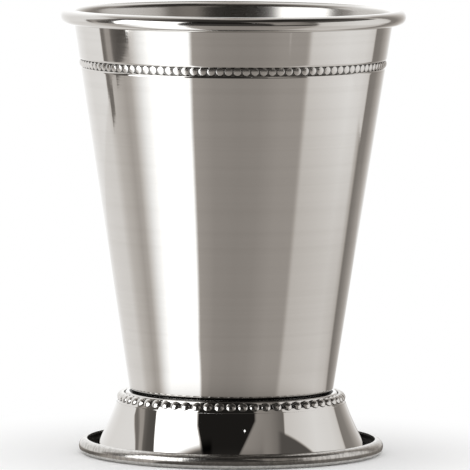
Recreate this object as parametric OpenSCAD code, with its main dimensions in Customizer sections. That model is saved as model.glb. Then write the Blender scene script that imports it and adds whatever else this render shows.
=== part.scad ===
// Beaded julep cup: a drawn sheet-metal bowl with a curled rim, on a spun foot with an open hem.
// Z is up, the cup stands on Z = 0 and its axis is the Z axis. All sizes are in millimetres.
// Both sheet pieces are drawn as the middle line of their sheet: a list of bends, joined by straight
// stretches that run tangent to them, which is given its thickness and turned about the axis.

/* [Overall] */
// Height from the table to the top of the rim
cup_h = 110; // [100:1:125]
// Diameter over the curled rim
rim_d = 85.2; // [80:0.2:92]
// Diameter over the hem of the foot
foot_d = 75.4; // [70:0.2:84]

/* [Bowl] */
// Thickness of the bowl's sheet
bowl_t = 0.6; // [0.45:0.05:0.8]
// Outer radius of the corner between bottom and wall
corner_r = 1.3; // [1:0.1:2.5]
// Diameter of the curl along the rim, seen in section
curl_d = 3.6; // [3:0.1:5]
// Gap between the curl's cut edge and the wall
curl_gap = 0.12; // [0.05:0.01:0.3]

/* [Channel round the bowl] */
// Distance from the top of the rim down to the middle of the channel
channel_drop = 13.4; // [9:0.2:40]
// Depth of the channel
channel_depth = 0.45; // [0.3:0.05:0.6]
// Width of the channel's flat floor
channel_floor = 1.5; // [1.3:0.1:3]
// Length of wall in which each side of the channel goes from the surface to the floor
channel_side = 0.85; // [0.8:0.05:1.6]

/* [Beaded band in the channel] */
// Number of beads
band_beads = 110; // [60:1:112]
// Gap between the backs of neighbouring beads
band_bead_gap = 0.1; // [0.04:0.02:0.6]
// Height of the beads over the wall
band_proud = 0.15; // [0:0.05:0.4]
// Thickness of the strip that carries the beads
band_strip_t = 0.15; // [0.1:0.05:0.3]

/* [Foot] */
// Height of the ledge that the bowl stands on
foot_h = 15.35; // [13:0.05:22]
// Thickness of the foot's sheet
foot_t = 0.6; // [0.45:0.05:0.8]
// Diameter at which the bevel turns down into the skirt
skirt_top_d = 56.7; // [50:0.1:63]
// Width of the bevel, seen from above
bevel_w = 2.35; // [2:0.05:3]
// Height of the bevel
bevel_h = 2.6; // [2.3:0.1:3.2]
// Outer radius of the bends at both edges of the bevel
bevel_bend_r = 0.8; // [0.8:0.05:1]
// Width of the ledge, from the bevel's upper edge in to the hole under the bowl
ledge_w = 6; // [5:0.1:8]
// How far the ledge stands out past the bowl's bottom, where the line of the bowl's wall meets it
ledge_lip = 0.85; // [0.6:0.05:1.5]
// How far the flange and the hem stand out past the skirt
flange_w = 4.7; // [4.2:0.1:6]
// Height at which the skirt ends
skirt_end_h = 2.6; // [2.4:0.1:3.4]
// How far the skirt bows inwards
skirt_bow = 0.25; // [0.1:0.05:0.8]
// Radius of the fillet between the skirt and the flange
flange_fillet_r = 1; // [0.6:0.1:1.2]
// Height of the hem
hem_h = 3.6; // [3:0.1:4.2]
// How far the hem is rolled
hem_turn = 186; // [150:1:230]

/* [Bead row on the foot] */
// Number of beads
row_beads = 60; // [40:1:64]
// Diameter of the spheres that the beads are cut from
row_bead_d = 2.6; // [2.2:0.02:2.7]
// Depth of the spheres' centres under the bevel
row_sink = 0.19; // [0:0.01:0.5]
// Thickness of the strip that carries the beads
row_strip_t = 0.1; // [0.1:0.05:0.4]
// Width of the strip that carries the beads
row_strip_w = 1.4; // [1:0.1:2.4]

/* [Joints] */
// Clearance between a strip of beads and the sheet behind it
strip_gap = 0.05; // [0.02:0.01:0.1]
// Thickness of the solder between foot and bowl
solder_t = 0.15; // [0.1:0.05:0.4]
// Width of the ring of solder
solder_w = 2.2; // [1:0.1:3]
// Distance from the outer edge of the solder to the bowl's corner
solder_inset = 0.3; // [0.1:0.1:1]

/* [Hidden] */

// Facets of a full turn, and the degrees of one straight piece of a bend
turn_fn = 180;
bead_fn = 32;
bend_step = 9;
// Side of the block that cuts a bead flat, in bead diameters
cutter = 2;

// Wall: the curl's centre, the edge of the bottom, which stands on the foot's ledge, and the wall's
// lean from the vertical. The inside of the wall is tangent to the curl, and its outside starts from
// the edge of the bottom.
curl_r = curl_d / 2;
curl_c = [rim_d / 2 - curl_r, cup_h - curl_r];
bowl_z = foot_h + solder_t;
ledge_edge = [skirt_top_d / 2 - bevel_w, foot_h];
base_edge = ledge_edge + [-ledge_lip, solder_t];
to_curl = curl_c - base_edge;
lean = acos((curl_r - bowl_t) / norm(to_curl)) - atan2(to_curl[1], to_curl[0]);
up_wall = [sin(lean), cos(lean)];
off_wall = [cos(lean), -sin(lean)];

// Bottom corner, touching both the bottom and the wall
corner_c = [base_edge[0] - corner_r * (1 - sin(lean)) / cos(lean), bowl_z + corner_r];
// How far the curl stops short of a full turn, so that its cut edge clears the wall
curl_open = acos((curl_r - bowl_t - curl_gap) / curl_r);

// Channel: its middle on the wall's outside, and the angle and radius of its bends
channel_mid = base_edge + up_wall * ((cup_h - channel_drop - bowl_z) / cos(lean));
channel_angle = 2 * atan2(channel_depth, channel_side);
channel_bend = channel_depth / 2 / (1 - cos(channel_angle));

// Place on the wall, from the channel's middle: along the wall upwards, and out from its outside
function on_wall(along, out) = channel_mid + up_wall * along + off_wall * out;

// Foot: the bevel's lean, the skirt's chord and the arc that bows in from it
bevel_run = [bevel_w, -bevel_h];
skirt_top = ledge_edge + bevel_run;
bevel_tilt = atan2(-bevel_run[0], bevel_run[1]) + 180;
bevel_mid = (ledge_edge + skirt_top) / 2;
skirt_end = [foot_d / 2 - flange_w, skirt_end_h];
skirt_chord = skirt_end - skirt_top;
skirt_half = norm(skirt_chord) / 2;
skirt_r = (pow(skirt_half, 2) + pow(skirt_bow, 2)) / (2 * skirt_bow);
skirt_spread = asin(skirt_half / skirt_r);
chord_tilt = atan2(skirt_chord[0], -skirt_chord[1]);
skirt_c = (skirt_top + skirt_end) / 2
    + (skirt_r - skirt_bow) * [cos(chord_tilt), sin(chord_tilt)];
top_tilt = chord_tilt - skirt_spread;
end_tilt = chord_tilt + skirt_spread;

// Fillet at the skirt's foot, and the hem's centre
fillet_run = (skirt_end_h + flange_fillet_r * (sin(end_tilt) - 1) - foot_t) / cos(end_tilt);
fillet_c = skirt_end + fillet_run * [sin(end_tilt), -cos(end_tilt)]
    + flange_fillet_r * [cos(end_tilt), sin(end_tilt)];
hem_r = hem_h / 2;
hem_c = [foot_d / 2 - hem_r, hem_r];

// Points along an arc, from one angle to the other
function arc(centre, radius, from, to) =
    let (steps = max(1, ceil(abs(to - from) / bend_step)))
    [for (i = [0:steps]) let (a = from + (to - from) * i / steps) centre + radius * [cos(a), sin(a)]];

// One side of a sheet: side is 1 right of its middle line and -1 left of it. A bend is its centre, the
// radius of the middle line, and the angles from that centre at which the bend starts and ends.
function sheet_side(bends, side, thickness) =
    [for (b = bends) each arc(b[0], b[1] + sign(b[3] - b[2]) * side * thickness / 2, b[2], b[3])];

function reversed(points) = [for (i = [len(points) - 1:-1:0]) points[i]];

// Bend at the corner of two straight stretches: corner of the outer side, outer radius, tilts before
// and after it, measured from the upright to the outside's normal
function outer_bend(corner, radius, thickness, from, to) =
    let (half = (from - to) / 2, middle = (from + to) / 2)
    [corner - radius / cos(half) * [cos(middle), sin(middle)], radius - thickness / 2, from, to];

// Middle line of the bowl, from its bottom outwards, up the wall and round the curl
bowl_bends = [
    [corner_c, corner_r - bowl_t / 2, -90, -lean],
    [on_wall(-channel_floor / 2 - channel_side, -bowl_t / 2 - channel_bend), channel_bend,
        -lean, -lean + channel_angle],
    [on_wall(-channel_floor / 2, -bowl_t / 2 - channel_depth + channel_bend), channel_bend,
        180 - lean + channel_angle, 180 - lean],
    [on_wall(channel_floor / 2, -bowl_t / 2 - channel_depth + channel_bend), channel_bend,
        180 - lean, 180 - lean - channel_angle],
    [on_wall(channel_floor / 2 + channel_side, -bowl_t / 2 - channel_bend), channel_bend,
        -lean - channel_angle, -lean],
    [curl_c, curl_r - bowl_t / 2, 180 - lean, curl_open - lean - 180]
];

// Middle line of the foot, from the hole outwards, down the skirt and round the hem
foot_bends = [
    outer_bend(ledge_edge, bevel_bend_r, foot_t, 90, bevel_tilt),
    outer_bend(skirt_top, bevel_bend_r, foot_t, bevel_tilt, top_tilt),
    [skirt_c, skirt_r + foot_t / 2, 180 + top_tilt, 180 + end_tilt],
    [fillet_c, flange_fillet_r + foot_t / 2, 180 + end_tilt, 270],
    [hem_c, hem_r - foot_t / 2, 270, 270 + hem_turn]
];

// A sheet piece turned from the two edges of its start and the bends of its middle line
module turned_sheet(start, bends, thickness) {
    rotate_extrude($fn = turn_fn)
        polygon(concat(
            [start],
            sheet_side(bends, 1, thickness),
            reversed(sheet_side(bends, -1, thickness)),
            [start + [0, thickness]]
        ));
}

// Thin band that lies along a sloping wall: middle of its back, tilt of the wall's normal below the
// horizontal, width and thickness
module sloping_strip(middle, tilt, width, thickness) {
    rotate_extrude($fn = turn_fn)
        translate(middle)
            rotate(-tilt)
                translate([0, -width / 2])
                    square([thickness, width]);
}

// Ring of beads with flat backs: middle of the back, tilt of the normal below the horizontal, number,
// sphere diameter, and height of the spheres' centres over the flat backs
module half_beads(middle, tilt, count, d, centre_over) {
    for (i = [0:count - 1])
        rotate([0, 0, i * 360 / count])
            translate([middle[0], 0, middle[1]])
                rotate([0, 90 + tilt, 0])
                    difference() {
                        translate([0, 0, centre_over])
                            sphere(d = d, $fn = bead_fn);
                        translate([-cutter * d / 2, -cutter * d / 2, -cutter * d])
                            cube(cutter * d);
                    }
}

// Bowl: flat bottom, leaning wall with a rolled channel, and a rim curled outwards
module bowl() {
    color("silver")
        turned_sheet([0, bowl_z], bowl_bends, bowl_t);
}

// Band of half beads on a thin strip, seated in the bowl's channel. The beads nearly touch: their
// width follows their number, and with their height it gives the sphere that they are cut from.
module beaded_band() {
    back = strip_gap - channel_depth;
    overlap = band_strip_t / 2;
    bead_back = on_wall(0, back + overlap);
    bead_w = 2 * PI * bead_back[0] / band_beads - band_bead_gap;
    bead_h = band_proud - back - overlap;
    bead_d = (pow(bead_w / 2, 2) + pow(bead_h, 2)) / bead_h;
    color("gainsboro")
        union() {
            sloping_strip(on_wall(0, back), lean, channel_floor, band_strip_t);
            half_beads(bead_back, lean, band_beads, bead_d, bead_h - bead_d / 2);
        }
}

// Foot: ledge with a hole, bevel, bowed skirt, flange and an open rolled hem
module foot() {
    color("silver")
        turned_sheet(ledge_edge - [ledge_w, foot_t], foot_bends, foot_t);
}

// Row of beads on a thin strip, seated on the foot's bevel
module foot_bead_row() {
    bevel_normal = [cos(bevel_tilt), sin(bevel_tilt)];
    overlap = row_strip_t / 2;
    color("gainsboro")
        union() {
            sloping_strip(bevel_mid + strip_gap * bevel_normal, -bevel_tilt, row_strip_w, row_strip_t);
            half_beads(bevel_mid + (strip_gap + overlap) * bevel_normal, -bevel_tilt, row_beads,
                row_bead_d, -row_sink - strip_gap - overlap);
        }
}

// Ring of solder that holds the bowl on the foot's ledge
module solder_ring() {
    outer_r = corner_c[0] - solder_inset;
    color("darkgray")
        translate([0, 0, foot_h])
            difference() {
                cylinder(r = outer_r, h = solder_t, $fn = turn_fn);
                translate([0, 0, -solder_t])
                    cylinder(r = outer_r - solder_w, h = 3 * solder_t, $fn = turn_fn);
            }
}

bowl();
beaded_band();
foot();
foot_bead_row();
solder_ring();
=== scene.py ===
"""Beaded julep cup in polished steel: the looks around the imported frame.

The two spun sheet pieces are turned from the outline of their section, and the two bead rows are
instanced along their circles, all by Geometry Nodes. Lengths are in millimetres until a mesh is
made, angles in degrees. Azimuth 0 is towards the camera and grows to the right.
"""

import math

import bpy
from mathutils import Matrix, Vector


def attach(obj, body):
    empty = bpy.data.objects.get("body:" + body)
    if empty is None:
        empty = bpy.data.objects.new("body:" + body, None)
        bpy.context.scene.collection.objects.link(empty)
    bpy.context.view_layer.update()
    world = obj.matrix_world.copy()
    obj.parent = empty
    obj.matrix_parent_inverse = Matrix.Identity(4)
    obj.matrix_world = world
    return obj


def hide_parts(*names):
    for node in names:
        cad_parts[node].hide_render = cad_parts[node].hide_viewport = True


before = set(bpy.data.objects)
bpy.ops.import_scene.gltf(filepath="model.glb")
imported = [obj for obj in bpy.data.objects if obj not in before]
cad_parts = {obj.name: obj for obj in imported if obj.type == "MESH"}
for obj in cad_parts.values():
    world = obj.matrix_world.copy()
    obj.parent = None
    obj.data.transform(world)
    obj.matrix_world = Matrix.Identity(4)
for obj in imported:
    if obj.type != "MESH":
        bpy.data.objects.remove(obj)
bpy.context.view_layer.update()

MM = 0.001

# ---------------------------------------------------------------- driving sizes of the cup

CUP_H = 110.0
RIM_D = 85.2
FOOT_D = 75.4

BOWL_T = 0.6             # the sheet's thickness
CORNER_R = 1.3           # between the bottom and the wall, outside
CURL_D = 3.6             # across the rim's curl
CURL_GAP = 0.12          # between the curl's end and the wall

CHANNEL_DROP = 13.4      # from the rim's top to the channel's middle
CHANNEL_DEPTH = 0.45
CHANNEL_FLOOR = 1.5      # width of its flat floor
CHANNEL_SIDE = 0.85      # width of each of its sloping sides

BAND_BEADS = 110
BAND_BEAD_GAP = 0.1      # between neighbours
BAND_PROUD = 0.15        # how far the crowns stand out from the wall
BAND_STRIP_T = 0.15

FOOT_H = 15.35           # to the top of the ledge that the bowl stands on
FOOT_T = 0.6             # the sheet's thickness
SKIRT_TOP_D = 56.7
BEVEL_W = 2.35
BEVEL_H = 2.6
BEVEL_BEND_R = 0.8       # of both its bends, outside
LEDGE_W = 6.0            # from the bevel to the hole in the middle
LEDGE_LIP = 0.85         # from the bevel to the foot of the bowl's wall
FLANGE_W = 4.7           # from the foot's edge to where the skirt ends
SKIRT_END_H = 2.6
SKIRT_BOW = 0.25         # how far the skirt's middle is drawn in
FLANGE_FILLET_R = 1.0
HEM_H = 3.6
HEM_TURN = 186.0         # degrees that the hem is rolled

ROW_BEADS = 60
ROW_BEAD_D = 2.6
ROW_SINK = 0.19          # how far a bead's centre lies under the bevel's face
ROW_STRIP_T = 0.1
ROW_STRIP_W = 1.4

STRIP_GAP = 0.05         # between a strip of beads and what it seats on
SOLDER_T = 0.15
SOLDER_W = 2.2
SOLDER_INSET = 0.3       # from the start of the bowl's corner to the solder's edge

# ---------------------------------------------------------------- how finely things are drawn

TURN_STEPS = 192       # faces round the cup
BEND_STEP = 3.0        # degrees of one straight piece of a bend
ARC_STEP = 0.5         # longest straight piece of a bend
STRETCH_STEP = 4.0     # longest straight piece of a straight stretch
SUPPORT = 0.12         # distance of the extra edge beside each bend
TURN_RADIUS = 50.0     # radius of the circle that a section is swept along
BEAD_STEPS = 12        # faces round one bead
BEAD_ARC_STEPS = 4     # faces from a bead's crown to its back
SHARP_EDGE = 40.0      # edges that turn more than this stay crisp
WELD = 0.001           # points this close become one
STUDIO_STEPS = 96      # faces round the studio's walls and table
DOME_STEP = 3.0        # degrees between the rings of the dome


# ---------------------------------------------------------------- sections

def turned(angle):
    """Unit vector at an angle from the radial direction, in the plane of a section."""
    return Vector((math.cos(math.radians(angle)), math.sin(math.radians(angle))))


def arc(centre, radius, start, end):
    """Points along an arc, finely enough for its bend and its length."""
    length = radius * math.radians(abs(end - start))
    steps = max(math.ceil(abs(end - start) / BEND_STEP), math.ceil(length / ARC_STEP))
    return [centre + radius * turned(start + (end - start) * i / steps) for i in range(steps + 1)]


def sheet_side(bends, side, thickness):
    """The bends of one side of a sheet: side is 1 right of its middle line and -1 left of it."""
    return [arc(centre, radius + math.copysign(1, end - start) * side * thickness / 2, start, end)
            for centre, radius, start, end in bends]


def outer_bend(corner, radius, thickness, start, end):
    """Bend at the corner of two straight stretches, from the outer corner and radius."""
    half = (start - end) / 2
    middle = (start + end) / 2
    centre = corner - radius / math.cos(math.radians(half)) * turned(middle)
    return centre, radius - thickness / 2, start, end


def joined(parts):
    """One outline through parts, each a list of points. The straight stretches between them are
    divided, with an extra edge beside each end."""
    result = list(parts[0])
    for part in parts[1:]:
        a, b = result[-1], part[0]
        length = (b - a).length
        if length > 4 * SUPPORT:
            inner = length - 2 * SUPPORT
            steps = max(1, math.ceil(inner / STRETCH_STEP))
            result += [a + (b - a) * ((SUPPORT + inner * i / steps) / length)
                       for i in range(steps + 1)]
        result += part
    return result


# ---------------------------------------------------------------- middle lines of the two sheets

curl_r = CURL_D / 2
curl_c = Vector((RIM_D / 2 - curl_r, CUP_H - curl_r))
bowl_z = FOOT_H + SOLDER_T
ledge_edge = Vector((SKIRT_TOP_D / 2 - BEVEL_W, FOOT_H))
base_edge = ledge_edge + Vector((-LEDGE_LIP, SOLDER_T))
to_curl = curl_c - base_edge
lean = math.degrees(math.acos((curl_r - BOWL_T) / to_curl.length)
                    - math.atan2(to_curl.y, to_curl.x))
up_wall = turned(90 - lean)
off_wall = turned(-lean)
lean_sin = math.sin(math.radians(lean))
lean_cos = math.cos(math.radians(lean))
corner_c = Vector((base_edge.x - CORNER_R * (1 - lean_sin) / lean_cos, bowl_z + CORNER_R))
curl_open = math.degrees(math.acos((curl_r - BOWL_T - CURL_GAP) / curl_r))

channel_mid = base_edge + up_wall * ((CUP_H - CHANNEL_DROP - bowl_z) / lean_cos)
channel_angle = 2 * math.degrees(math.atan2(CHANNEL_DEPTH, CHANNEL_SIDE))
channel_bend = CHANNEL_DEPTH / 2 / (1 - math.cos(math.radians(channel_angle)))


def on_wall(along, out):
    """Place on the wall, from the channel's middle: along the wall upwards, and out from it."""
    return channel_mid + up_wall * along + off_wall * out


bowl_bends = [
    (corner_c, CORNER_R - BOWL_T / 2, -90, -lean),
    (on_wall(-CHANNEL_FLOOR / 2 - CHANNEL_SIDE, -BOWL_T / 2 - channel_bend), channel_bend,
     -lean, -lean + channel_angle),
    (on_wall(-CHANNEL_FLOOR / 2, -BOWL_T / 2 - CHANNEL_DEPTH + channel_bend), channel_bend,
     180 - lean + channel_angle, 180 - lean),
    (on_wall(CHANNEL_FLOOR / 2, -BOWL_T / 2 - CHANNEL_DEPTH + channel_bend), channel_bend,
     180 - lean, 180 - lean - channel_angle),
    (on_wall(CHANNEL_FLOOR / 2 + CHANNEL_SIDE, -BOWL_T / 2 - channel_bend), channel_bend,
     -lean - channel_angle, -lean),
    (curl_c, curl_r - BOWL_T / 2, 180 - lean, curl_open - lean - 180),
]

bevel_run = Vector((BEVEL_W, -BEVEL_H))
skirt_top = ledge_edge + bevel_run
bevel_tilt = math.degrees(math.atan2(-bevel_run.x, bevel_run.y)) + 180
bevel_normal = turned(bevel_tilt)
bevel_mid = (ledge_edge + skirt_top) / 2
skirt_end = Vector((FOOT_D / 2 - FLANGE_W, SKIRT_END_H))
skirt_chord = skirt_end - skirt_top
skirt_half = skirt_chord.length / 2
skirt_r = (skirt_half ** 2 + SKIRT_BOW ** 2) / (2 * SKIRT_BOW)
skirt_spread = math.degrees(math.asin(skirt_half / skirt_r))
chord_tilt = math.degrees(math.atan2(skirt_chord.x, -skirt_chord.y))
skirt_c = (skirt_top + skirt_end) / 2 + (skirt_r - SKIRT_BOW) * turned(chord_tilt)
top_tilt = chord_tilt - skirt_spread
end_tilt = chord_tilt + skirt_spread
fillet_run = ((SKIRT_END_H + FLANGE_FILLET_R * (turned(end_tilt).y - 1) - FOOT_T)
              / turned(end_tilt).x)
fillet_c = (skirt_end - fillet_run * turned(end_tilt + 90)
            + FLANGE_FILLET_R * turned(end_tilt))
hem_r = HEM_H / 2
hem_c = Vector((FOOT_D / 2 - hem_r, hem_r))

foot_bends = [
    outer_bend(ledge_edge, BEVEL_BEND_R, FOOT_T, 90, bevel_tilt),
    outer_bend(skirt_top, BEVEL_BEND_R, FOOT_T, bevel_tilt, top_tilt),
    (skirt_c, skirt_r + FOOT_T / 2, 180 + top_tilt, 180 + end_tilt),
    (fillet_c, FLANGE_FILLET_R + FOOT_T / 2, 180 + end_tilt, 270),
    (hem_c, hem_r - FOOT_T / 2, 270, 270 + HEM_TURN),
]


# ---------------------------------------------------------------- node trees

class Value:
    """A socket of a node tree that takes part in arithmetic."""

    def __init__(self, graph, socket):
        self.graph = graph
        self.socket = socket

    def _math(self, operation, first, second=None):
        values = {0: first} if second is None else {0: first, 1: second}
        node = self.graph.add("ShaderNodeMath", {"operation": operation}, values)
        return self.graph.value(node, "Value")

    def __add__(self, other):
        return self._math("ADD", self, other)

    def __radd__(self, other):
        return self._math("ADD", other, self)

    def __sub__(self, other):
        return self._math("SUBTRACT", self, other)

    def __rsub__(self, other):
        return self._math("SUBTRACT", other, self)

    def __mul__(self, other):
        return self._math("MULTIPLY", self, other)

    def __rmul__(self, other):
        return self._math("MULTIPLY", other, self)

    def __truediv__(self, other):
        return self._math("DIVIDE", self, other)

    def __rtruediv__(self, other):
        return self._math("DIVIDE", other, self)

    def maximum(self, other):
        return self._math("MAXIMUM", self, other)

    def minimum(self, other):
        return self._math("MINIMUM", self, other)

    def arctan2(self, other):
        return self._math("ARCTAN2", self, other)

    def sine(self):
        return self._math("SINE", self)

    def cosine(self):
        return self._math("COSINE", self)

    def root(self):
        return self._math("SQRT", self)

    def rise(self, low, high):
        """0 below low, 1 above high and smooth between them."""
        node = self.graph.add("ShaderNodeMapRange", {"interpolation_type": "SMOOTHSTEP"},
                              {"Value": self, "From Min": low, "From Max": high})
        return self.graph.value(node, "Result")

    def within(self, low, high, edge):
        """1 between low and high and 0 outside them, with edges that soft."""
        return (self.rise(low - edge / 2, low + edge / 2)
                * (1 - self.rise(high - edge / 2, high + edge / 2)))

    def towards(self, other, share):
        """This value, or the other where share is 1."""
        return self + (other - self) * share


class Graph:
    """A node tree being built."""

    def __init__(self, tree):
        self.tree = tree
        tree.nodes.clear()

    def add(self, kind, settings=None, values=None):
        """A node of that type: settings first, then the values or links of its sockets."""
        node = self.tree.nodes.new(kind)
        for name, setting in (settings or {}).items():
            if name == "stops":
                self._set_stops(node.color_ramp, setting)
            else:
                setattr(node, name, setting)
        for name, value in (values or {}).items():
            if isinstance(value, Value):
                self.tree.links.new(value.socket, node.inputs[name])
            else:
                node.inputs[name].default_value = value
        return node

    def value(self, node, output=0):
        """An output of a node, ready for arithmetic."""
        return Value(self, node.outputs[output])

    def mix(self, factor, first, second):
        """Colour between two others. In this node 0, 6 and 7 are the factor and the two colours,
        and output 2 is the colour that results."""
        node = self.add("ShaderNodeMix", {"data_type": "RGBA"}, {0: factor, 6: first, 7: second})
        return self.value(node, 2)

    def place(self):
        """Object coordinates as three values, in metres."""
        node = self.add("ShaderNodeTexCoord")
        parts = self.add("ShaderNodeSeparateXYZ", values={0: self.value(node, "Object")})
        return [self.value(parts, name) for name in "XYZ"]

    @staticmethod
    def _set_stops(ramp, stops):
        while len(ramp.elements) < len(stops):
            ramp.elements.new(1)
        for element, (position, tone) in zip(ramp.elements, stops):
            element.position = position
            element.color = (tone, tone, tone, 1)


def distance_of(x, y):
    """Distance of a place from the point where both values are 0."""
    return (x * x + y * y).root()


def new_material(name):
    """A material and its empty node tree."""
    material = bpy.data.materials.new(name)
    material.use_nodes = True
    return material, Graph(material.node_tree)


# ---------------------------------------------------------------- finishes

STEEL = (0.80, 0.79, 0.77, 1)
STEEL_DULL = (0.66, 0.645, 0.62, 1)
# The darkest colour: painted shade in recesses and creases, and the hem's stains and the solder's
# grain
SHADE_AND_STAIN_DARK = (0.05, 0.048, 0.045, 1)

BUMP_STEP = 0.02         # how far a height of 1 pushes the surface out

BOWL_OUTSIDE_ROUGH = 0.05
BOWL_INSIDE_ROUGH = 0.22
CURL_ROUGH = 0.11
FOOT_ROUGH = 0.014
HEM_ROUGH = 0.15         # what the satin of the hem adds
RECESS_ROUGH = 0.4      # what the recesses with painted shade add
BEAD_ROUGH = 0.025
CREASE_ROUGH = 0.3       # what a crease adds where it is full
SOLDER_ROUGH = 0.35

BEVEL_TURN = 1.4         # how far the bump leans out over the bevel's height
WORN_SHARE = 0.85        # how much of a bead's depth looks worn flat


def spin_lines(graph, height, scale, seed):
    """Fine rings that polishing on a lathe leaves, about 0 to 1, from the place along the axis.
    The scale is in rings to a metre."""
    node = graph.add("ShaderNodeTexNoise", {"noise_dimensions": "1D"},
                     {"W": height * scale + seed, "Scale": 1.0, "Detail": 3.0, "Roughness": 0.65})
    return graph.value(node, "Fac")


def unevenness(graph, scale, seed):
    """Swells of the sheet, about 0 to 1, longer along the axis. The scale is in swells to a metre."""
    x, y, z = graph.place()
    where = graph.add("ShaderNodeCombineXYZ", values={0: x, 1: y, 2: z * 0.35 + seed})
    node = graph.add("ShaderNodeTexNoise", values={"Vector": graph.value(where), "Scale": scale,
                                                   "Detail": 1.0, "Roughness": 0.4})
    return graph.value(node, "Fac")


def finish_metal(graph, colour, roughness, height):
    """Metal whose surface is pushed in and out by height, in bump steps."""
    bump = graph.add("ShaderNodeBump", values={"Strength": 1.0, "Distance": BUMP_STEP * MM,
                                               "Height": height})
    shader = graph.add("ShaderNodeBsdfPrincipled", values={
        "Base Color": colour, "Metallic": 1.0, "Roughness": roughness,
        "Normal": graph.value(bump)})
    output = graph.add("ShaderNodeOutputMaterial")
    graph.tree.links.new(shader.outputs[0], output.inputs["Surface"])


def bowl_finish():
    """Bright outside, an inside that is duller and shows its spin lines more, and painted shade under
    the corner and under the curl."""
    material, graph = new_material("bowl_polished_steel")
    x, y, z = graph.place()
    radius = distance_of(x, y)
    wall_radius = (base_edge.x - bowl_z * lean_sin / lean_cos) * MM + z * (lean_sin / lean_cos)
    outside = (radius - wall_radius).rise(-0.6 * BOWL_T * MM, -0.4 * BOWL_T * MM)
    fine = spin_lines(graph, z, scale=2600.0, seed=3.1)
    coarse = spin_lines(graph, z, scale=300.0, seed=8.7)
    swells = unevenness(graph, scale=38.0, seed=0.3)
    curl_low = CUP_H - CURL_D
    curl_outside = z.rise((curl_low + 0.3) * MM, (curl_low + 1.0) * MM) * outside
    curl_inside = z.rise((CUP_H - 1.0) * MM, (CUP_H - 0.4) * MM)
    on_curl = curl_outside.maximum(curl_inside)
    # Masks of painted shade: under the corner, where the bowl meets the ledge, and under the curl
    shade_under_corner = (1 - z.rise((bowl_z + 0.35) * MM, (bowl_z + 0.9) * MM)) * outside
    shade_under_curl = (z.within((curl_low - 0.15) * MM, (curl_low + 0.7) * MM, 0.2 * MM) * outside
                  * (1 - radius.rise((curl_c.x - 0.7) * MM, (curl_c.x + 0.1) * MM)))
    colour = graph.mix(outside.maximum(on_curl), STEEL_DULL, STEEL)
    colour = graph.mix(coarse.rise(0.35, 0.75) * 0.18, colour, STEEL_DULL)
    # Painted shade in those places
    colour = graph.mix(shade_under_corner.maximum(shade_under_curl * 0.8), colour, SHADE_AND_STAIN_DARK)
    polish = outside * (BOWL_INSIDE_ROUGH - BOWL_OUTSIDE_ROUGH)
    roughness = (BOWL_INSIDE_ROUGH - polish).towards(CURL_ROUGH, on_curl) + (fine - 0.5) * 0.05
    finish_metal(graph, colour, roughness, fine * 0.06 + coarse * 0.16 + swells * 2.2)
    return material


def foot_finish():
    """Mirror polish with slow swells, with painted shade in the open roll of the hem and beside it,
    and under the bowl. The hem is satin and a little stained."""
    material, graph = new_material("foot_mirror_steel")
    x, y, z = graph.place()
    radius = distance_of(x, y)
    lines = spin_lines(graph, radius + z * 0.5, scale=2400.0, seed=1.9)
    swells = unevenness(graph, scale=60.0, seed=4.2)
    from_hem = distance_of(radius - hem_c.x * MM, z - hem_c.y * MM)
    # Masks of painted shade: in the open roll of the hem, on the flange beside it and under the bowl
    in_roll = 1 - from_hem.rise((hem_r - 0.55 * FOOT_T) * MM, (hem_r - 0.45 * FOOT_T) * MM)
    on_flange = (radius.rise((fillet_c.x - 0.3) * MM, fillet_c.x * MM)
                 * (1 - radius.rise(hem_c.x * MM, (hem_c.x + 0.1) * MM))
                 * z.within(0.5 * FOOT_T * MM, 2.0 * FOOT_T * MM, 0.1 * MM))
    under_bowl = ((1 - radius.rise(base_edge.x * MM, (base_edge.x + 0.25) * MM))
                  * z.rise((FOOT_H - 0.1) * MM, FOOT_H * MM))
    recess_shade = in_roll.maximum(on_flange).maximum(under_bowl)
    on_hem = radius.rise((hem_c.x - 0.6) * MM, hem_c.x * MM)
    stains = unevenness(graph, scale=1500.0, seed=6.5).rise(0.40, 0.64) * on_hem
    colour = graph.mix((lines * 0.12).maximum(on_hem * 0.9), STEEL, STEEL_DULL)
    # Painted shade in those recesses, and the hem's real stains
    colour = graph.mix(recess_shade.maximum(stains * 0.2), colour, SHADE_AND_STAIN_DARK)
    roughness = (FOOT_ROUGH + lines * 0.016 + recess_shade * RECESS_ROUGH + on_hem * HEM_ROUGH
                 + stains * 0.05)
    # The bevel's sheen is turned towards the skirt's, as if its edges were rounded over
    up_bevel = ((z / MM - skirt_top.y) / BEVEL_H).maximum(0).minimum(1)
    height = (lines * 0.02 + swells * 2.0 + stains * 0.25
              + up_bevel * (BEVEL_TURN / BUMP_STEP))
    finish_metal(graph, colour, roughness, height)
    return material


def bead_finish(name, crease, depth, worn):
    """Polished beads, dull in the creases between them and darkened there with painted shade, with
    crowns that look worn flat by that many millimetres. The crease attribute is 0 on a bead's crown
    and 1 at its back."""
    material, graph = new_material(name)
    node = graph.add("ShaderNodeAttribute", {"attribute_name": "crease"})
    from_crown = graph.value(node, "Fac")
    swells = unevenness(graph, scale=900.0, seed=2.0)
    # Painted shade in the creases between the beads and on the strip under them
    deep = from_crown.rise(*crease) * depth
    height = from_crown.minimum(WORN_SHARE) * (worn / BUMP_STEP) + swells
    finish_metal(graph, graph.mix(deep, STEEL, SHADE_AND_STAIN_DARK), BEAD_ROUGH + deep * CREASE_ROUGH, height)
    return material


def solder_finish():
    """Dull grey, grainy and darker in its hollows."""
    material, graph = new_material("grey_solder")
    grain = unevenness(graph, scale=2500.0, seed=1.1)
    colour = graph.mix(grain, STEEL_DULL, SHADE_AND_STAIN_DARK)
    finish_metal(graph, colour, SOLDER_ROUGH + grain * 0.2, grain * 2.5)
    return material


# ---------------------------------------------------------------- geometry trees

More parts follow.
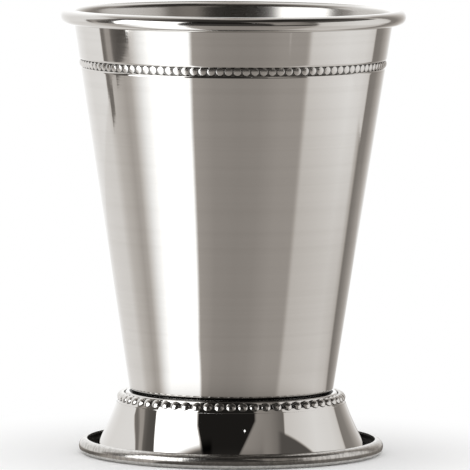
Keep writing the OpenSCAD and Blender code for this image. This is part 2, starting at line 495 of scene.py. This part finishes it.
def geometry_tree(name, inputs):
    """An empty geometry tree with named inputs, given as (name, socket type, value)."""
    tree = bpy.data.node_groups.new(name, "GeometryNodeTree")
    tree.interface.new_socket("Geometry", in_out="INPUT", socket_type="NodeSocketGeometry")
    tree.interface.new_socket("Geometry", in_out="OUTPUT", socket_type="NodeSocketGeometry")
    for label, kind, value in inputs:
        socket = tree.interface.new_socket(label, in_out="INPUT", socket_type=kind)
        if value is not None:
            socket.default_value = value
    graph = Graph(tree)
    entry = graph.add("NodeGroupInput")
    return graph, {item.name: graph.value(entry, item.name) for item in entry.outputs if item.name}


def close_tree(graph, geometry, material):
    """Ends a tree with plain geometry that carries its material."""
    real = graph.add("GeometryNodeRealizeInstances", values={0: geometry})
    smooth = graph.add("GeometryNodeSetShadeSmooth", values={0: graph.value(real)})
    made = graph.add("GeometryNodeSetMaterial",
                     values={"Geometry": graph.value(smooth), "Material": material})
    graph.add("NodeGroupOutput", values={0: graph.value(made)})
    return graph.tree


def turn_section(graph, section, radius, steps):
    """Sweeps a section, drawn from the circle's line outwards, round the axis. Its poles close."""
    circle = graph.add("GeometryNodeCurvePrimitiveCircle", {"mode": "RADIUS"},
                       {"Resolution": steps, "Radius": radius})
    upright = graph.add("GeometryNodeSetCurveNormal", {"mode": "Z_UP"}, {0: graph.value(circle)})
    swept = graph.add("GeometryNodeCurveToMesh",
                      values={"Curve": graph.value(upright), "Profile Curve": section})
    closed = graph.add("GeometryNodeMergeByDistance",
                       values={"Geometry": graph.value(swept), "Distance": WELD * MM})
    return graph.value(closed)


def turning_tree():
    """Turns the object's own edges, a section of a sheet piece, round the axis."""
    graph, given = geometry_tree("turned_section", [
        ("Turn Radius", "NodeSocketFloat", TURN_RADIUS * MM),
        ("Steps", "NodeSocketInt", TURN_STEPS),
        ("Material", "NodeSocketMaterial", None),
    ])
    section = graph.add("GeometryNodeMeshToCurve", values={0: given["Geometry"]})
    solid = turn_section(graph, graph.value(section), given["Turn Radius"], given["Steps"])
    return close_tree(graph, solid, given["Material"])


def bead_row_tree():
    """Beads round a circle, on a thin strip. The object's own edges are the section of one bead,
    from its crown to the middle of its flat back."""
    graph, given = geometry_tree("bead_row", [
        ("Beads", "NodeSocketInt", ROW_BEADS),
        ("Row Radius", "NodeSocketFloat", 0.0),
        ("Row Height", "NodeSocketFloat", 0.0),
        ("Tilt", "NodeSocketFloat", 0.0),
        ("Uneven", "NodeSocketFloat", 0.02),
        ("Strip Thickness", "NodeSocketFloat", 0.0),
        ("Strip Width", "NodeSocketFloat", 0.0),
        ("Bead Depth", "NodeSocketFloat", 1.0),
        ("Seed", "NodeSocketInt", 7),
        ("Material", "NodeSocketMaterial", None),
    ])
    section = graph.add("GeometryNodeMeshToCurve", values={0: given["Geometry"]})
    bead = turn_section(graph, graph.value(section), TURN_RADIUS * MM, BEAD_STEPS)
    position = graph.add("GeometryNodeInputPosition")
    parts = graph.add("ShaderNodeSeparateXYZ", values={0: graph.value(position)})
    crease = 1 - graph.value(parts, "Z") / given["Bead Depth"]
    kept = graph.add("GeometryNodeStoreNamedAttribute",
                     {"data_type": "FLOAT", "domain": "POINT"},
                     {"Geometry": bead, "Name": "crease", "Value": crease})

    index = graph.value(graph.add("GeometryNodeInputIndex"))
    turn = index * (2 * math.pi) / given["Beads"]
    place = graph.add("ShaderNodeCombineXYZ", values={
        0: turn.cosine() * given["Row Radius"], 1: turn.sine() * given["Row Radius"],
        2: given["Row Height"]})
    points = graph.add("GeometryNodePoints",
                       values={"Count": given["Beads"], "Position": graph.value(place)})
    facing = graph.add("ShaderNodeCombineXYZ",
                       values={1: given["Tilt"] + math.pi / 2, 2: turn})
    rotation = graph.add("FunctionNodeEulerToRotation", values={0: graph.value(facing)})
    size = graph.add("FunctionNodeRandomValue", {"data_type": "FLOAT"},
                     {2: 1 - given["Uneven"], 3: 1.0, "Seed": given["Seed"]})
    beads = graph.add("GeometryNodeInstanceOnPoints", values={
        "Points": graph.value(points), "Instance": graph.value(kept),
        "Rotation": graph.value(rotation), "Scale": graph.value(size, 1)})

    outline = graph.add("GeometryNodeCurvePrimitiveQuadrilateral", {"mode": "RECTANGLE"},
                        {"Width": given["Strip Thickness"], "Height": given["Strip Width"]})
    leaning = graph.add("ShaderNodeCombineXYZ", values={2: given["Tilt"]})
    standing = graph.add("ShaderNodeCombineXYZ", values={
        0: given["Row Radius"] - TURN_RADIUS * MM, 1: 0 - given["Row Height"]})
    placed = graph.add("GeometryNodeTransform", values={
        "Geometry": graph.value(outline), "Translation": graph.value(standing),
        "Rotation": graph.value(leaning)})
    strip = turn_section(graph, graph.value(placed), TURN_RADIUS * MM, TURN_STEPS)
    # The strip counts as all crease, so its finish paints it in shade
    deep = graph.add("GeometryNodeStoreNamedAttribute",
                     {"data_type": "FLOAT", "domain": "POINT"},
                     {"Geometry": strip, "Name": "crease", "Value": 1.0})
    together = graph.add("GeometryNodeJoinGeometry", values={0: graph.value(beads)})
    graph.tree.links.new(deep.outputs[0], together.inputs[0])
    return close_tree(graph, graph.value(together), given["Material"])


# ---------------------------------------------------------------- pieces

def section_object(name, points, closed):
    """An object whose edges are a section, given as radius and height in millimetres. Heights are
    written downwards, which is how the sweep reads them."""
    spots = [((p.x - TURN_RADIUS) * MM, -p.y * MM, 0.0) for p in points]
    edges = [(i, i + 1) for i in range(len(spots) - 1)]
    if closed:
        edges.append((len(spots) - 1, 0))
    mesh = bpy.data.meshes.new(name)
    mesh.from_pydata(spots, edges, [])
    piece = bpy.data.objects.new(name, mesh)
    bpy.context.scene.collection.objects.link(piece)
    return piece


def shaped(piece, tree, values):
    """The piece with the tree's result as its plain mesh."""
    modifier = piece.modifiers.new("shape", "NODES")
    modifier.node_group = tree
    for item in tree.interface.items_tree:
        if item.in_out == "INPUT" and item.name in values:
            modifier[item.identifier] = values[item.name]
    evaluated = piece.evaluated_get(bpy.context.evaluated_depsgraph_get())
    mesh = bpy.data.meshes.new_from_object(evaluated)
    piece.modifiers.remove(modifier)
    piece.data = mesh
    mesh.name = piece.name
    mesh.set_sharp_from_angle(angle=math.radians(SHARP_EDGE))
    return piece


def dress(piece, node):
    """The piece rides with the cup and stands for that node, which it hides."""
    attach(piece, "root")
    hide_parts(node)


def sheet_outline(bends, start, thickness):
    """Outline of a sheet piece, with its outside on the left: back along the inner side from the
    start, and out again along the outer side."""
    inner = [[start + Vector((0, thickness))]] + sheet_side(bends, -1, thickness)
    outer = [[start]] + sheet_side(bends, 1, thickness)
    return inner + [part[::-1] for part in outer[::-1]]


def make_bowl(tree):
    """The drawn bowl. Its outline starts and ends on the axis."""
    outline = sheet_outline(bowl_bends, Vector((0, bowl_z)), BOWL_T)
    piece = section_object("bowl_spun", joined(outline), closed=False)
    shaped(piece, tree, {"Material": bowl_finish()})
    dress(piece, "bowl")


def make_foot(tree):
    """The spun foot. Its outline runs round the sheet, from the edge of the ledge's hole."""
    outline = sheet_outline(foot_bends, ledge_edge - Vector((LEDGE_W, FOOT_T)), FOOT_T)
    points = joined(outline + outline[:1])
    piece = section_object("foot_spun", points[:-1], closed=True)
    shaped(piece, tree, {"Material": foot_finish()})
    dress(piece, "foot")


def make_solder(tree):
    """The flat ring of solder on the ledge."""
    outer_r = corner_c.x - SOLDER_INSET
    inner_r = outer_r - SOLDER_W
    corners = [Vector((inner_r, FOOT_H)), Vector((inner_r, FOOT_H + SOLDER_T)),
               Vector((outer_r, FOOT_H + SOLDER_T)), Vector((outer_r, FOOT_H))]
    piece = section_object("solder_joint", corners, closed=True)
    shaped(piece, tree, {"Material": solder_finish()})
    dress(piece, "solder_ring")


def make_bead_row(tree, name, node, material, *, count, diameter, back, tilt, centre_over, strip):
    """A row of part balls on a strip. back is the middle of their flat backs, tilt the angle of the
    row's outside below the horizontal, centre_over how far the balls' centres lie outside their
    backs, and strip its thickness and width."""
    radius = diameter / 2
    rim_angle = math.degrees(math.asin(-centre_over / radius))
    centre = Vector((0, centre_over))
    angles = [90 + (rim_angle - 90) * i / BEAD_ARC_STEPS for i in range(BEAD_ARC_STEPS + 1)]
    points = [centre + radius * turned(angle) for angle in angles] + [Vector((0, 0))]
    piece = section_object(name, points, closed=False)
    shaped(piece, tree, {
        "Beads": count, "Row Radius": back.x * MM, "Row Height": back.y * MM,
        "Tilt": math.radians(tilt), "Strip Thickness": strip[0] * MM,
        "Strip Width": strip[1] * MM, "Bead Depth": (radius + centre_over) * MM,
        "Material": material})
    dress(piece, node)


def make_beaded_band(tree):
    """The small beads, in the bowl's channel. Their backs lie in the middle of the strip."""
    over_wall = STRIP_GAP - CHANNEL_DEPTH + BAND_STRIP_T / 2
    back = on_wall(0, over_wall)
    width = 2 * math.pi * back.x / BAND_BEADS - BAND_BEAD_GAP
    height = BAND_PROUD - over_wall
    diameter = ((width / 2) ** 2 + height ** 2) / height
    material = bead_finish("band_bead_steel", crease=(0.84, 0.95), depth=0.85, worn=0.36)
    make_bead_row(tree, "beaded_band_row", "beaded_band", material,
                  count=BAND_BEADS, diameter=diameter, back=back, tilt=lean,
                  centre_over=height - diameter / 2, strip=(BAND_STRIP_T, CHANNEL_FLOOR))


def make_foot_beads(tree):
    """The larger beads, on the foot's bevel. Their backs lie in the middle of the strip."""
    over_bevel = STRIP_GAP + ROW_STRIP_T / 2
    material = bead_finish("foot_bead_steel", crease=(0.80, 0.96), depth=0.85, worn=0.5)
    make_bead_row(tree, "foot_bead_ring", "foot_bead_row", material,
                  count=ROW_BEADS, diameter=ROW_BEAD_D, back=bevel_mid + over_bevel * bevel_normal,
                  tilt=-bevel_tilt, centre_over=-ROW_SINK - over_bevel,
                  strip=(ROW_STRIP_T, ROW_STRIP_W))


# ---------------------------------------------------------------- studio

STUDIO_PEAK = 2.4                  # the brightest tone of the studio
WARM = (1.09, 1.0, 0.92, 1)        # tint of the dim parts of the room
PLAIN = (1.0, 1.0, 1.0, 1)
WIDE = 400                         # a limit in degrees that nothing reaches

# Brightness of what stands round the cup, by azimuth: dark room behind the camera, a soft box left
# of it, a screen with dark stripes further left, pale screens on both sides and a bright back.
WALL_TONES = [
    (-180, 1.25), (-160, 1.0), (-150, 0.9), (-135, 0.82), (-112, 0.86), (-110.5, 0.88),
    (-109.8, 0.18), (-106, 0.17), (-104.8, 0.36), (-99.6, 0.34), (-98, 0.14), (-91, 0.09),
    (-82.5, 0.075), (-81.8, 2.3), (-35.7, 2.3), (-34.9, 0.012), (24.8, 0.012), (25.6, 0.28),
    (40, 0.235), (52, 0.15), (55.4, 0.14), (56.2, 0.66), (75, 0.75), (90, 0.83), (112, 0.79),
    (123.5, 0.68), (124.8, 0.21), (135, 0.24), (145, 0.40), (155, 0.62), (165, 0.9), (180, 1.25),
]

# Where the edges of the walls' tones lean: the elevation that this starts at, degrees to the right
# for each degree up, and azimuths from and to, with how softly it begins and ends
WALL_LEANS = [
    (18, 0.87, -WIDE, -94, 20),
    (18, 0.2, -WIDE, -66, 12),
    (35, 0.5, -50, -15, 10),
    (34, -1.15, -5, 34, 6),
    (12, -0.25, 100, WIDE, 10),
]

# Parts of the walls that have a brightness of their own, with their azimuths and elevations, each
# from and to and how soft the edges are: the lower part of the dark room, which is not quite black,
# a dark gap low down on the right, and the dark above the screen there
WALL_PARTS = [
    (0.045, (-34.5, 25, 1), (-WIDE, 28, 8)),
    (0.02, (20, 52, 4), (-WIDE, 12, 6)),
    (0.085, (50, 112, 6), (35.3, WIDE, 1.4)),
]
BOX_SPAN = (-90, -20, 4)           # azimuths of the soft box
BOX_FADE = (39.5, 45.5)            # elevations between which it fades
BOX_LEFT = 0.04                    # what is left of it above them

# Brightness high over the cup
CEILING_TONES = [
    (-180, 0.42), (-165, 0.85), (-150, 0.95), (-128, 0.75), (-112, 0.40), (-90, 0.26),
    (-65, 0.10), (-40, 0.035), (60, 0.02), (104, 0.05), (120, 0.40), (132, 0.80), (150, 0.95),
    (165, 0.6), (180, 0.42),
]
CEILING_START = (44, 55)           # elevations between which the walls turn into the ceiling
CEILING_MIDDLE = 0.38              # brightness right above the cup
MIDDLE_START = (77, 83)            # elevations between which that begins

# A dark strip high up in the middle of the back
STRIP_TONE = 0.06
STRIP_AROUND = (-174, 174, 6)      # azimuths that it does not cover
STRIP_UP = (42, 63, 6)             # elevations that it covers

# Brightness of the table near the cup
TABLE_TONES = [
    (-180, 1.2), (-162, 0.92), (-146, 0.78), (-116, 0.74), (-106, 0.56), (-98, 0.50), (-90, 0.41),
    (-84, 0.46), (-78, 0.74), (-72, 1.03), (-64, 1.35), (-31.2, 1.4), (-29.8, 0.85), (-28.4, 0.36),
    (-12, 0.29), (8, 0.27), (24, 0.28), (40, 0.33), (57, 0.34), (61, 0.55), (84, 0.62), (100, 0.66),
    (114, 0.60), (121, 0.50), (125, 0.20), (132, 0.25), (146, 0.40), (160, 0.65), (172, 1.05),
    (180, 1.2),
]
TABLE_CENTRE = (-13.0, -12.0)      # where the table's azimuths and distances start
TABLE_END = 400.0                  # where the table meets the walls
TABLE_LIFT = 0.2                   # height of the table over the floor
TABLE_RADII = (FOOT_D / 2 + 0.3, 200.0, TABLE_END + 2)

# The edge of the table's bright part leans near the cup: the distance that this starts at and
# degrees to the right for each millimetre nearer
TABLE_LEANS = [(235, 0.021), (80, 0.13)]
LEAN_SPAN = (-45, -12, 8)          # azimuths where it leans

FAR_SPAN = (60, 118, 4)            # azimuths where the table grows brighter outwards
FAR_START = (160, 420)             # distances over which it grows
FAR_GAIN = 0.30                    # how much brighter it gets by their end
FOOT_SHADE = (38.0, 80.0)          # distances from the axis between which the foot shades the table
FOOT_SHADE_TONE = 0.3              # what the shade leaves of the brightness

# Narrow things that stand on the table: azimuths from and to, distance and brightness
TABLE_THINGS = [
    (-111.0, -105.5, 350, 0.17),
    (-99.5, -82.0, 366, 0.11),
    (43.4, 44.6, 322, 0.42),
]
THING_SOFT = 0.8                   # how soft their sides are, in degrees
THING_FOOT = 4                     # how soft their near ends are, either way

LAMP = (14.0, 38.3)                # azimuth and elevation of a small lamp
LAMP_RADIUS = 0.5                  # in degrees
LAMP_WIDTH = 0.6                   # what a degree of azimuth is worth at its elevation

FLOOR_RADII = (8000.0, 200.0, 0.1)  # of the floor's rings, the last all but a point
FLOOR_STEPS = 64
SHADOW_ZONE = (39.0, 95.0)         # distances between which the floor turns plain white


def sector_stops(tones):
    """Stops of a ramp over the azimuth, from (azimuth in degrees, brightness) pairs."""
    return [((azimuth + 180) / 360, tone / STUDIO_PEAK) for azimuth, tone in tones]


def by_azimuth(graph, azimuth, tones):
    """Brightness at an azimuth in degrees, read off a ramp."""
    ramp = graph.add("ShaderNodeValToRGB", {"stops": sector_stops(tones)},
                     {0: azimuth / 360 + 0.5})
    return graph.value(ramp) * STUDIO_PEAK


def glow(graph, tone):
    """Ends a studio material: light of that brightness, warmer where it is dim."""
    colour = graph.mix(tone.rise(0.15, 1.1), WARM, PLAIN)
    node = graph.add("ShaderNodeEmission", values={"Color": colour, "Strength": tone})
    output = graph.add("ShaderNodeOutputMaterial")
    graph.tree.links.new(node.outputs[0], output.inputs["Surface"])


def azimuth_of(x, y):
    """Azimuth in degrees: 0 is towards the camera."""
    return x.arctan2(0 - y) * math.degrees(1)


def stage_piece(name, rings, steps, material, only_in_metal):
    """Something of the studio: a surface through rings of (radius, height). What is only in the
    metal shows in its reflections and nowhere else."""
    spots = [(radius * MM * math.cos(2 * math.pi * i / steps),
              radius * MM * math.sin(2 * math.pi * i / steps), height * MM)
             for radius, height in rings for i in range(steps)]
    faces = [(k * steps + i, k * steps + (i + 1) % steps,
              (k + 1) * steps + (i + 1) % steps, (k + 1) * steps + i)
             for k in range(len(rings) - 1) for i in range(steps)]
    mesh = bpy.data.meshes.new(name)
    mesh.from_pydata(spots, [], faces)
    mesh.materials.append(material)
    piece = bpy.data.objects.new(name, mesh)
    bpy.context.scene.collection.objects.link(piece)
    if only_in_metal:
        piece.visible_camera = False
        piece.visible_diffuse = False
        piece.visible_shadow = False


def wall_tone(graph, azimuth, elevation):
    """Brightness of the dome round the cup."""
    leaning = azimuth
    for start, slope, low, high, soft in WALL_LEANS:
        leaning = leaning - (elevation - start).maximum(0) * slope * azimuth.within(low, high, soft)
    tone = by_azimuth(graph, leaning, WALL_TONES)
    faded = elevation.rise(*BOX_FADE) * azimuth.within(*BOX_SPAN)
    tone = tone * (1 - (1 - BOX_LEFT) * faded)
    for brightness, around, up in WALL_PARTS:
        tone = tone.towards(brightness, azimuth.within(*around) * elevation.within(*up))
    ceiling = by_azimuth(graph, azimuth, CEILING_TONES)
    ceiling = ceiling.towards(CEILING_MIDDLE, elevation.rise(*MIDDLE_START))
    tone = tone.towards(ceiling, elevation.rise(*CEILING_START))
    strip = (1 - azimuth.within(*STRIP_AROUND)) * elevation.within(*STRIP_UP)
    tone = tone.towards(STRIP_TONE, strip)
    from_lamp = distance_of((azimuth - LAMP[0]) * LAMP_WIDTH, elevation - LAMP[1])
    return tone.towards(STUDIO_PEAK, 1 - from_lamp.rise(0.8 * LAMP_RADIUS, LAMP_RADIUS))


def studio_walls():
    """Dome round the cup that carries the dark room, the soft box and the screens."""
    material, graph = new_material("studio_walls")
    x, y, z = graph.place()
    elevation = z.arctan2(distance_of(x, y)) * math.degrees(1)
    glow(graph, wall_tone(graph, azimuth_of(x, y), elevation))
    corners = [turned(i * DOME_STEP) * TABLE_END for i in range(round(90 / DOME_STEP) + 1)]
    rings = [(corner.x, corner.y) for corner in corners]
    stage_piece("studio_walls", rings, STUDIO_STEPS, material, only_in_metal=True)


def studio_table():
    """Table top as the metal shows it, from the foot outwards."""
    material, graph = new_material("studio_table")
    x, y, z = graph.place()
    shaded = 1 - distance_of(x, y).rise(FOOT_SHADE[0] * MM, FOOT_SHADE[1] * MM)
    x, y = x - TABLE_CENTRE[0] * MM, y - TABLE_CENTRE[1] * MM
    azimuth = azimuth_of(x, y)
    distance = distance_of(x, y) / MM
    leaning = azimuth
    for start, slope in TABLE_LEANS:
        leaning = leaning - (start - distance).maximum(0) * slope * azimuth.within(*LEAN_SPAN)
    tone = by_azimuth(graph, leaning, TABLE_TONES)
    tone = tone * (distance.rise(*FAR_START) * azimuth.within(*FAR_SPAN) * FAR_GAIN + 1)
    tone = tone * (1 - shaded * (1 - FOOT_SHADE_TONE))
    for start, end, near, brightness in TABLE_THINGS:
        beyond = distance.rise(near - THING_FOOT, near + THING_FOOT)
        tone = tone.towards(brightness, azimuth.within(start, end, THING_SOFT) * beyond)
    glow(graph, tone)
    rings = [(radius, TABLE_LIFT) for radius in TABLE_RADII]
    stage_piece("studio_table", rings, STUDIO_STEPS, material, only_in_metal=True)


def floor():
    """Plain pale floor that keeps the cup's shadow and turns plain white away from it."""
    material, graph = new_material("pale_floor")
    x, y, z = graph.place()
    away = distance_of(x, y).rise(SHADOW_ZONE[0] * MM, SHADOW_ZONE[1] * MM)
    path = graph.add("ShaderNodeLightPath")
    seen = (graph.value(path, "Is Camera Ray") + graph.value(path, "Is Glossy Ray")
            + graph.value(path, "Is Transmission Ray")).minimum(1.0)
    matt = graph.add("ShaderNodeBsdfDiffuse", values={"Color": (0.96, 0.96, 0.96, 1)})
    white = graph.add("ShaderNodeEmission", values={"Color": PLAIN, "Strength": 1.0})
    both = graph.add("ShaderNodeMixShader", values={
        0: away * seen, 1: graph.value(matt), 2: graph.value(white)})
    output = graph.add("ShaderNodeOutputMaterial")
    graph.tree.links.new(both.outputs[0], output.inputs["Surface"])
    rings = [(radius, 0) for radius in FLOOR_RADII]
    stage_piece("floor", rings, FLOOR_STEPS, material, only_in_metal=False)


def world_light():
    """Plain white light from all sides."""
    world = bpy.data.worlds.new("plain_light")
    bpy.context.scene.world = world
    world.use_nodes = True
    graph = Graph(world.node_tree)
    light = graph.add("ShaderNodeBackground", values={"Color": PLAIN, "Strength": 1.0})
    output = graph.add("ShaderNodeOutputWorld")
    graph.tree.links.new(light.outputs[0], output.inputs["Surface"])


# ---------------------------------------------------------------- camera

CAMERA_BACK = 1632.3      # distance in front of the cup's axis
CAMERA_UP = 191.9
CAMERA_PITCH = 4.827      # degrees down
CAMERA_YAW = 0.025        # degrees to the right
CAMERA_ROLL = 0.317
CAMERA_LENS = 507.3
SENSOR = 36.0
CAMERA_SEES = (0.1, 50.0)     # nearest and furthest, in metres


def make_camera():
    """The camera that took the photograph, as fitted to the cup's ellipses."""
    lens = bpy.data.cameras.new("camera")
    lens.lens = CAMERA_LENS
    lens.sensor_width = SENSOR
    lens.clip_start, lens.clip_end = CAMERA_SEES
    camera = bpy.data.objects.new("camera", lens)
    bpy.context.scene.collection.objects.link(camera)
    turn = (Matrix.Rotation(math.radians(-CAMERA_YAW), 4, "Z")
            @ Matrix.Rotation(math.radians(90 - CAMERA_PITCH), 4, "X")
            @ Matrix.Rotation(math.radians(CAMERA_ROLL), 4, "Z"))
    camera.matrix_world = Matrix.Translation((0, -CAMERA_BACK * MM, CAMERA_UP * MM)) @ turn
    bpy.context.scene.camera = camera


# ---------------------------------------------------------------- the whole

make_camera()
turning = turning_tree()
rows = bead_row_tree()
make_bowl(turning)
make_foot(turning)
make_solder(turning)
make_beaded_band(rows)
make_foot_beads(rows)
studio_walls()
studio_table()
floor()
world_light()
bpy.context.scene.view_settings.view_transform = "Standard"
